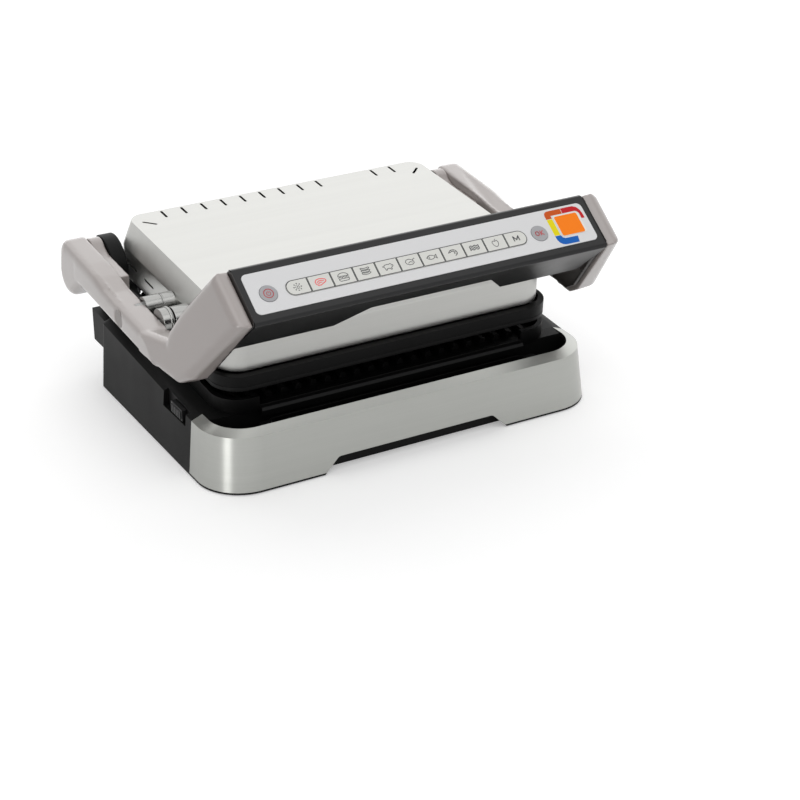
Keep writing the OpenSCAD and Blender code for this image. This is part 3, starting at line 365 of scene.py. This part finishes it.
keyCount = 11
baseLooks = [
    {"node": "base_shell", "name": "baseMoulding", "edge": 0.8, "material": blackAbs},
    {"node": "front_moulding", "name": "frontMoulding", "edge": 0.5, "material": blackAbs},
    {"node": "hinge_block", "name": "hingeBlock", "edge": 0.8, "material": blackAbs},
    {"node": "left_hinge_tower", "name": "leftHingeTower", "edge": 0.8, "material": blackAbs},
    {"node": "right_hinge_tower", "name": "rightHingeTower", "edge": 0.8, "material": blackAbs},
    {"node": "bottom_cover", "name": "bottomCover", "edge": 0.4, "material": blackAbs},
    {"node": "drip_tray", "name": "dripTray", "edge": 0.5, "material": frameAbs},
    {"node": "lower_plate", "name": "lowerPlate", "edge": 0.6, "material": plateCoat},
    {"node": "release_button", "name": "releaseButton", "edge": 0.4, "material": beamAbs},
]
lidLooks = [
    {"node": "control_beam", "name": "controlBeam", "edge": 0.9, "material": beamAbs, "reshape": longerNotch},
    {"node": "control_panel", "name": "controlPanel", "edge": 0.25, "material": panelFilm},
    {"node": "power_button", "name": "powerButton", "edge": 0.2, "material": discPlastic},
    {"node": "ok_button", "name": "okButton", "edge": 0.2, "material": discPlastic},
    {"node": "arm_sleeves", "name": "armSleeves", "edge": 0.25, "material": chromeTube},
    {"node": "stop_tubes_arm", "name": "stopTubesArm", "edge": 0.3, "material": chromeTube},
]
armLooks = [
    dict(look, node=side + "_" + look["node"], name=side + look["name"])
    for look in (
        {"node": "arm", "name": "Arm", "voxel": 1.0, "relax": 8, "material": taupePaint,
         "reshape": raiseRearEnd},
        {"node": "hinge_boss", "name": "HingeBoss", "voxel": 0.8, "relax": 4, "material": taupePaint},
        {"node": "riser_lining", "name": "RiserLining", "voxel": 0.8, "relax": 4, "material": liningAbs})
    for side in ("left", "right")]
headLooks = [
    {"node": "upper_cover", "name": "upperCover", "edge": 0.25, "material": coverSteel},
    {"node": "upper_frame", "name": "upperFrame", "edge": 0.7, "material": frameAbs},
    {"node": "rear_frame", "name": "rearFrame", "edge": 0.7, "material": frameAbs},
    {"node": "upper_plate", "name": "upperPlate", "edge": 0.6, "material": plateCoat},
    {"node": "cover_sleeves", "name": "coverSleeves", "edge": 0.25, "material": chromeTube},
    {"node": "stop_tubes_cover", "name": "stopTubesCover", "edge": 0.3, "material": chromeTube},
]
keyLooks = [
    {"node": "key_%02d" % number, "name": "keyCap%02d" % number, "edge": 0.18, "material": keyPlastic}
    for number in range(1, keyCount + 1)]
wrapLook = {"node": "front_wrap", "name": "steelWrap", "sharpAbove": 14, "material": wrapSteel}

crispLooks = baseLooks + lidLooks + headLooks + keyLooks
for look in crispLooks:
    roundedPiece(look)
for look in armLooks:
    meltedPiece(look)
foldedPiece(wrapLook)
print("casings and fittings:", len(crispLooks) + len(armLooks) + 1)

# CAD solids that stay as they are take their finish here
plainFinishes = {
    "feet": rubber, "power_inlet": rubber, "bottom_screws": turnedPin, "hinge_pins": turnedPin,
    "float_pins": turnedPin, "lower_heater": rodSteel, "upper_heater": rodSteel,
    "lower_reflector": plainFoil, "upper_reflector": plainFoil, "lower_heater_clips": plainFoil,
    "upper_heater_clips": plainFoil, "arm_caps": capAbs, "circuit_board": boardEpoxy,
    "indicator_lens": whitePrint}
for node, material in plainFinishes.items():
    for slot in nodes[node].material_slots:
        slot.material = material
print("plain finishes:", len(plainFinishes))


# print and lights on the control face: x across and v up the face, in mm; tops are heights over it
face = {"u": -141.1, "w": 168.5, "tilt": 31.7, "keyTop": 0.6, "lensTop": 0.4, "panelTop": 0.2}
film = {"thick": 0.08, "stroke": 0.5}
facePlace = (Matrix.Translation((0, slope["middle"] * mm, 0))
             @ Matrix.Rotation(math.radians(slope["degrees"]), 4, "X")
             @ Matrix.Translation((0, face["u"] * mm, face["w"] * mm))
             @ Matrix.Rotation(math.radians(face["tilt"]), 4, "X") @ Matrix.Diagonal((mm, mm, mm, 1)))


def addDisc(bm, x, v, radius, sides=20):
    place = Matrix.Translation((x, v, 0)) @ Matrix.Diagonal((radius, radius, film["thick"], 1))
    bmesh.ops.create_cone(bm, cap_ends=True, segments=sides, radius1=1, radius2=1, depth=1, matrix=place)


def addStroke(bm, points, wide=film["stroke"]):
    # a pen line through the points, with round joints
    for (x0, v0), (x1, v1) in zip(points, points[1:]):
        place = (Matrix.Translation(((x0 + x1) / 2, (v0 + v1) / 2, 0))
                 @ Matrix.Rotation(math.atan2(v1 - v0, x1 - x0), 4, "Z")
                 @ Matrix.Diagonal((math.hypot(x1 - x0, v1 - v0), wide, film["thick"], 1)))
        bmesh.ops.create_cube(bm, size=1, matrix=place)
    for x, v in points:
        addDisc(bm, x, v, wide / 2, sides=8)


def addPatch(bm, points):
    # a filled shape with a few corners
    patch = bm.faces.new([bm.verts.new((x, v, -film["thick"] / 2)) for x, v in points])
    rim = bmesh.ops.extrude_face_region(bm, geom=[patch])
    bmesh.ops.translate(bm, vec=(0, 0, film["thick"]),
                        verts=[part for part in rim["geom"] if isinstance(part, bmesh.types.BMVert)])


def arc(x, v, rx, rv, start, end, steps=10):
    # points along part of an ellipse, angles in degrees
    turns = [math.radians(start + (end - start) * i / steps) for i in range(steps + 1)]
    return [(x + rx * math.cos(a), v + rv * math.sin(a)) for a in turns]


def printedPiece(name, draw, material, node, top, place=(0, 0)):
    # what draw puts on a bmesh becomes a thin film on the face, and moves with the node's body
    bm = bmesh.new()
    draw(bm)
    bmesh.ops.translate(bm, verts=bm.verts, vec=(place[0], place[1], top))
    bmesh.ops.transform(bm, matrix=facePlace, verts=bm.verts)
    bmesh.ops.recalc_face_normals(bm, faces=bm.faces)
    piece = objectFrom(bm, name, material)
    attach(piece, bodyOf[node])


# signs for kinds of food, each a few pen lines round its own middle
def frozenSign(bm):
    addDisc(bm, 0, 0, 0.55)
    for turn in range(0, 360, 45):
        x, v = math.cos(math.radians(turn)), math.sin(math.radians(turn))
        addDisc(bm, 1.6 * x, 1.6 * v, 0.36)
        addDisc(bm, 3.0 * x, 3.0 * v, 0.5)


def steakSign(bm):
    addStroke(bm, [(-4.4, 0.6), (-3.2, 2.2), (-0.8, 2.8), (2.0, 2.5), (4.2, 1.6), (4.5, 0.2), (3.2, -0.9),
                   (1.4, -1.6), (-0.6, -2.7), (-2.8, -2.6), (-4.2, -1.2), (-4.4, 0.6)], 0.7)
    addStroke(bm, [(-3.0, -0.2), (-1.6, 1.0), (0.6, 1.2), (2.6, 0.6)], 0.7)
    addStroke(bm, [(-2.4, -1.4), (-0.8, -0.4), (0.8, -0.4)], 0.7)


def burgerSign(bm):
    addStroke(bm, arc(0, 0.7, 4.3, 2.8, 0, 180, 12) + [(4.3, 0.7)])
    addStroke(bm, [(-4.4, -0.6), (-2.9, 0.1), (-1.4, -0.7), (0, 0.1), (1.4, -0.7), (2.9, 0.1), (4.4, -0.6)])
    addStroke(bm, [(-4.2, -1.5), (4.2, -1.5), (4.0, -2.7), (3.2, -3.4), (-3.2, -3.4), (-4.0, -2.7),
                   (-4.2, -1.5)])


def sausageSign(bm):
    for v in (1.9, -0.2, -2.3):
        underside = arc(0, v + 1.2, 3.6, 1.2, 200, 340, 8)
        topside = arc(0, v + 2.4, 3.3, 1.1, 330, 210, 8)
        addStroke(bm, underside + [(3.9, v + 1.3)] + topside + [(-3.6, v + 1.6), (-3.4, v + 0.8)])


def pigSign(bm):
    addStroke(bm, [(-3.4, 0.5), (-2.6, 1.8), (-0.6, 2.2), (1.6, 2.0), (2.6, 2.6), (3.2, 1.8), (4.3, 1.0),
                   (4.3, 0.1), (3.4, -0.4), (2.6, -1.0), (2.5, -2.6), (1.6, -2.6), (1.3, -1.5), (-1.3, -1.5),
                   (-1.7, -2.6), (-2.6, -2.6), (-2.8, -1.2), (-3.4, 0.5)])
    addStroke(bm, [(-3.4, 0.6), (-4.3, 1.2), (-4.1, 0.3)], 0.4)
    addDisc(bm, 3.0, 0.8, 0.3)


def chickenSign(bm):
    addStroke(bm, [(-3.8, 0.6), (-2.6, 2.2), (-0.4, 2.6), (1.8, 1.8), (3.2, 0.2), (3.0, -1.4), (1.2, -2.4),
                   (-1.4, -2.3), (-3.2, -1.2), (-3.8, 0.6)])
    addStroke(bm, [(2.6, 1.2), (4.0, 2.6), (4.6, 2.2)])
    addStroke(bm, [(-1.6, -0.8), (0.2, 0.3), (2.0, -0.6)])


def fishSign(bm):
    addStroke(bm, [(-4.4, 0), (-3.0, 1.3), (-0.8, 1.9), (1.2, 1.4), (2.6, 0.3), (4.2, 1.8), (4.2, -1.8),
                   (2.6, -0.3), (1.2, -1.4), (-0.8, -1.9), (-3.0, -1.3), (-4.4, 0)])
    addStroke(bm, arc(-3.4, 0, 1.5, 1.5, 45, -45, 5), 0.4)
    addDisc(bm, -3.1, 0.4, 0.3)


def shrimpSign(bm):
    addStroke(bm, arc(-0.2, -0.4, 3.4, 2.8, 150, -70, 14), 0.6)
    addStroke(bm, arc(-0.6, -0.2, 1.7, 1.3, 150, -50, 10))
    addStroke(bm, [(-3.2, 1.0), (-4.3, 0.2), (-2.1, 0.4)])
    for turn in (110, 65, 20, -25):
        x, v = math.cos(math.radians(turn)), math.sin(math.radians(turn))
        addStroke(bm, [(-0.5 + 1.7 * x, -0.2 + 1.4 * v), (-0.2 + 3.3 * x, -0.4 + 2.7 * v)], 0.4)


def baconSign(bm):
    for v in (1.6, 0.0, -1.6):
        addStroke(bm, [(-4.0, v - 0.3), (-2.6, v + 0.6), (-1.0, v - 0.4), (0.8, v + 0.6), (2.4, v - 0.4),
                       (4.0, v + 0.4)], 0.75)
    addStroke(bm, [(-4.0, 1.3), (-4.0, -1.9)])
    addStroke(bm, [(4.0, 2.0), (4.0, -1.2)])


def pepperSign(bm):
    addStroke(bm, [(0, 1.6), (1.8, 2.2), (2.7, 0.8), (2.2, -1.4), (0.8, -3.2), (-0.8, -3.2), (-2.2, -1.4),
                   (-2.7, 0.8), (-1.8, 2.2), (0, 1.6)])
    addStroke(bm, [(0, 1.6), (0.2, 2.8), (1.0, 3.4)])


def letterSign(bm):
    addStroke(bm, [(-2.3, -2.0), (-2.3, 2.0), (0, -1.2), (2.3, 2.0), (2.3, -2.0)], 0.95)


keyRow = {"left": -119.9, "pitch": 19.02, "v": 21.8, "lit": 1}  # lit: the key that glows, counted from 0
# painted shade: sizes in mm of the dark lines that stand for the shaded gaps round the keys
gapShadeLine = {"half": 9.1, "outerHalf": 8.95, "high": 6.25, "line": 0.55, "end": 6.1}
keySigns = [frozenSign, steakSign, burgerSign, sausageSign, pigSign, chickenSign, fishSign, shrimpSign,
            baconSign, pepperSign, letterSign]


def keyGapShade(index):
    # painted shade: a dark line round the edge of one key stands for the shaded gap round it; the two outer
    # keys have the round ends of the row
    half, outer, high, line, r = (gapShadeLine[part] for part in ("half", "outerHalf", "high", "line", "end"))
    if index == 0:
        corners = ([(half, high), (r - outer, high)] + arc(r - outer, high - r, r, r, 90, 180, 8)
                   + arc(r - outer, r - high, r, r, 180, 270, 8) + [(half, -high), (half, high)])
    elif index == keyCount - 1:
        corners = ([(-half, -high), (outer - r, -high)] + arc(outer - r, r - high, r, r, -90, 0, 8)
                   + arc(outer - r, high - r, r, r, 0, 90, 8) + [(-half, high), (-half, -high)])
    else:
        corners = [(-half, -high), (half, -high), (half, high), (-half, high), (-half, -high)]
    return lambda bm: addStroke(bm, corners, line)


for index, sign in enumerate(keySigns):
    number = "%02d" % (index + 1)
    centre = (keyRow["left"] + (index + 0.5) * keyRow["pitch"], keyRow["v"])
    signInk = redLight if index == keyRow["lit"] else greyInkAndGapShade
    printedPiece("keySign" + number, sign, signInk, "key_" + number, face["keyTop"], centre)
    # each key also gets its painted gap shade, a dark line round its edge
    printedPiece("keyGapShade" + number, keyGapShade(index), greyInkAndGapShade, "key_" + number, face["keyTop"], centre)

buttonX = {"power": -134.2, "ok": 101.6}


def powerSign(bm):
    addStroke(bm, arc(0, 0, 3.7, 3.7, 0, 360, 24), 0.75)
    addStroke(bm, arc(0, -0.1, 1.7, 1.7, 125, 415, 12), 0.55)
    addStroke(bm, [(0, 0.4), (0, 2.1)], 0.55)


def okSign(bm):
    addStroke(bm, arc(-2.1, 0, 1.5, 1.85, 0, 360, 16), 0.85)
    addStroke(bm, [(0.9, -1.9), (0.9, 1.9)], 0.85)
    addStroke(bm, [(3.3, 1.9), (1.2, -0.1), (3.4, -1.9)], 0.85)


printedPiece("powerSign", powerSign, dimRed, "power_button", face["keyTop"], (buttonX["power"], keyRow["v"]))
printedPiece("okSign", okSign, dimRed, "ok_button", face["keyTop"], (buttonX["ok"], keyRow["v"]))

window = {"left": 120.5, "low": 14.9, "right": 141.6, "high": 33.3, "corner": 1}


def windowShape(bm):
    # the lit rectangle, its corners cut
    left, low, right, high, cut = (window[part] for part in ("left", "low", "right", "high", "corner"))
    addPatch(bm, [(left + cut, low), (right - cut, low), (right, low + cut), (right, high - cut),
                  (right - cut, high), (left + cut, high), (left, high - cut), (left, low + cut)])


printedPiece("orangeWindow", windowShape, orangeLight, "indicator_lens", face["lensTop"])
# coloured guide round the window: one plain colour for each stage of cooking
guides = [
    ("guideOrange", ringOrange, [(113.4, 32.3), (118.6, 32.3), (118.6, 34.9), (129.6, 34.9), (129.6, 39.6),
                                 (117.4, 39.6), (115.4, 39.1), (113.9, 37.6), (113.4, 35.7)]),
    ("guideRed", ringRed, [(130.0, 34.9), (141.6, 34.9), (143.2, 34.0), (144.2, 32.4), (144.2, 27.1),
                           (147.1, 27.1), (147.0, 31.4), (146.3, 35.0), (144.4, 38.0), (141.4, 39.5),
                           (138.4, 39.7), (130.0, 39.6)]),
    ("guideYellow", ringYellow, [(113.4, 16.6), (118.6, 16.6), (118.6, 31.9), (113.4, 31.9)]),
    ("guideBlue", ringBlue, [(113.4, 16.2), (113.6, 12.6), (114.8, 9.8), (116.8, 8.0), (119.6, 7.1),
                             (131.9, 7.0), (133.0, 12.6), (121.6, 12.8), (119.6, 13.8), (118.6, 16.2)]),
]
for name, material, corners in guides:
    printedPiece(name, lambda bm: addPatch(bm, corners), material, "control_panel", face["panelTop"])
print("control face drawn")


def whereSeen(tree, unseen, seen):
    # one strength for what the camera, gloss and glass see, another for the light that falls on things
    ray = addNode(tree, "LightPath")
    first = addNode(tree, "Math", {"operation": "MAXIMUM"},
                    {0: ray.outputs["Is Camera Ray"], 1: ray.outputs["Is Glossy Ray"]})
    both = addNode(tree, "Math", {"operation": "MAXIMUM"},
                   {0: first.outputs["Value"], 1: ray.outputs["Is Transmission Ray"]})
    return addNode(tree, "MapRange", {"To Min": unseen, "To Max": seen},
                   {"Value": both.outputs["Value"]}).outputs["Result"]


# white paper floor and a white room; lift is what the floor gives off by itself where it is seen
studio = {"floorSize": 6.0, "floorColour": "#e8e8e8", "floorLift": 0.32, "roomLight": 0.45, "roomSeen": 1.0}

floorPaper, floorTree, floorShader = newMaterial("whiteStudioPaper", {
    "Base Color": linear(studio["floorColour"]), "Roughness": 0.9, "Specular IOR Level": 0.1,
    "Emission Color": linear("#ffffff")})
floorTree.links.new(whereSeen(floorTree, 0.0, studio["floorLift"]), floorShader.inputs["Emission Strength"])
floorShape = bmesh.new()
bmesh.ops.create_grid(floorShape, x_segments=1, y_segments=1, size=studio["floorSize"] / 2)
objectFrom(floorShape, "floor", floorPaper)

world = bpy.data.worlds.new("studioWorld")
bpy.context.scene.world = world
world.use_nodes = True
background = world.node_tree.nodes["Background"]
background.inputs["Color"].default_value = linear("#ffffff")
world.node_tree.links.new(whereSeen(world.node_tree, studio["roomLight"], studio["roomSeen"]),
                          background.inputs["Strength"])

# wide even lamps: turn is the side they stand on, counted from the front towards the left
lamps = [
    {"name": "rearCeiling", "turn": 205, "height": 42, "power": 1.15, "wide": 95},
    {"name": "frontCeiling", "turn": 15, "height": 62, "power": 0.9, "wide": 60},
]
for lamp in lamps:
    light = bpy.data.lights.new(lamp["name"], "SUN")
    light.energy = lamp["power"]
    light.angle = math.radians(lamp["wide"])
    turn, height = math.radians(lamp["turn"]), math.radians(lamp["height"])
    fromSide = Vector((-math.sin(turn) * math.cos(height), -math.cos(turn) * math.cos(height),
                       math.sin(height)))
    holder = addObject(lamp["name"], light)
    holder.rotation_euler = (-fromSide).to_track_quat("-Z", "Y").to_euler()

# a tall strip of light by the front left corner: it draws the bright band down the bent steel
strip = {"turn": 58, "distance": 2.2, "middle": 0.5, "wide": 0.6, "tall": 1.0, "power": 15.0}
light = bpy.data.lights.new("cornerStrip", "AREA")
light.shape = "RECTANGLE"
light.size, light.size_y = strip["wide"], strip["tall"]
light.energy = strip["power"]
turn = math.radians(strip["turn"])
holder = addObject("cornerStrip", light)
holder.location = (-math.sin(turn) * strip["distance"], -math.cos(turn) * strip["distance"], strip["middle"])
holder.rotation_euler = (math.radians(90), 0, -turn)
holder.visible_camera = False
holder.visible_diffuse = False

# the photograph's camera, in metres, degrees and millimetres of lens
shot = {"place": (-0.6978, -1.3168, 0.7483), "azimuth": 29.61, "elevation": 26.87, "lens": 88.1,
        "sensor": 36, "shift": (0.0016, -0.00105)}
camera = addObject("camera", bpy.data.cameras.new("camera"))
camera.location = shot["place"]
camera.rotation_euler = (math.radians(90 - shot["elevation"]), 0, -math.radians(shot["azimuth"]))
camera.data.lens = shot["lens"]
camera.data.sensor_width = shot["sensor"]
camera.data.shift_x, camera.data.shift_y = shot["shift"]
bpy.context.scene.camera = camera
bpy.context.scene.view_settings.view_transform = "Standard"
print("studio set")
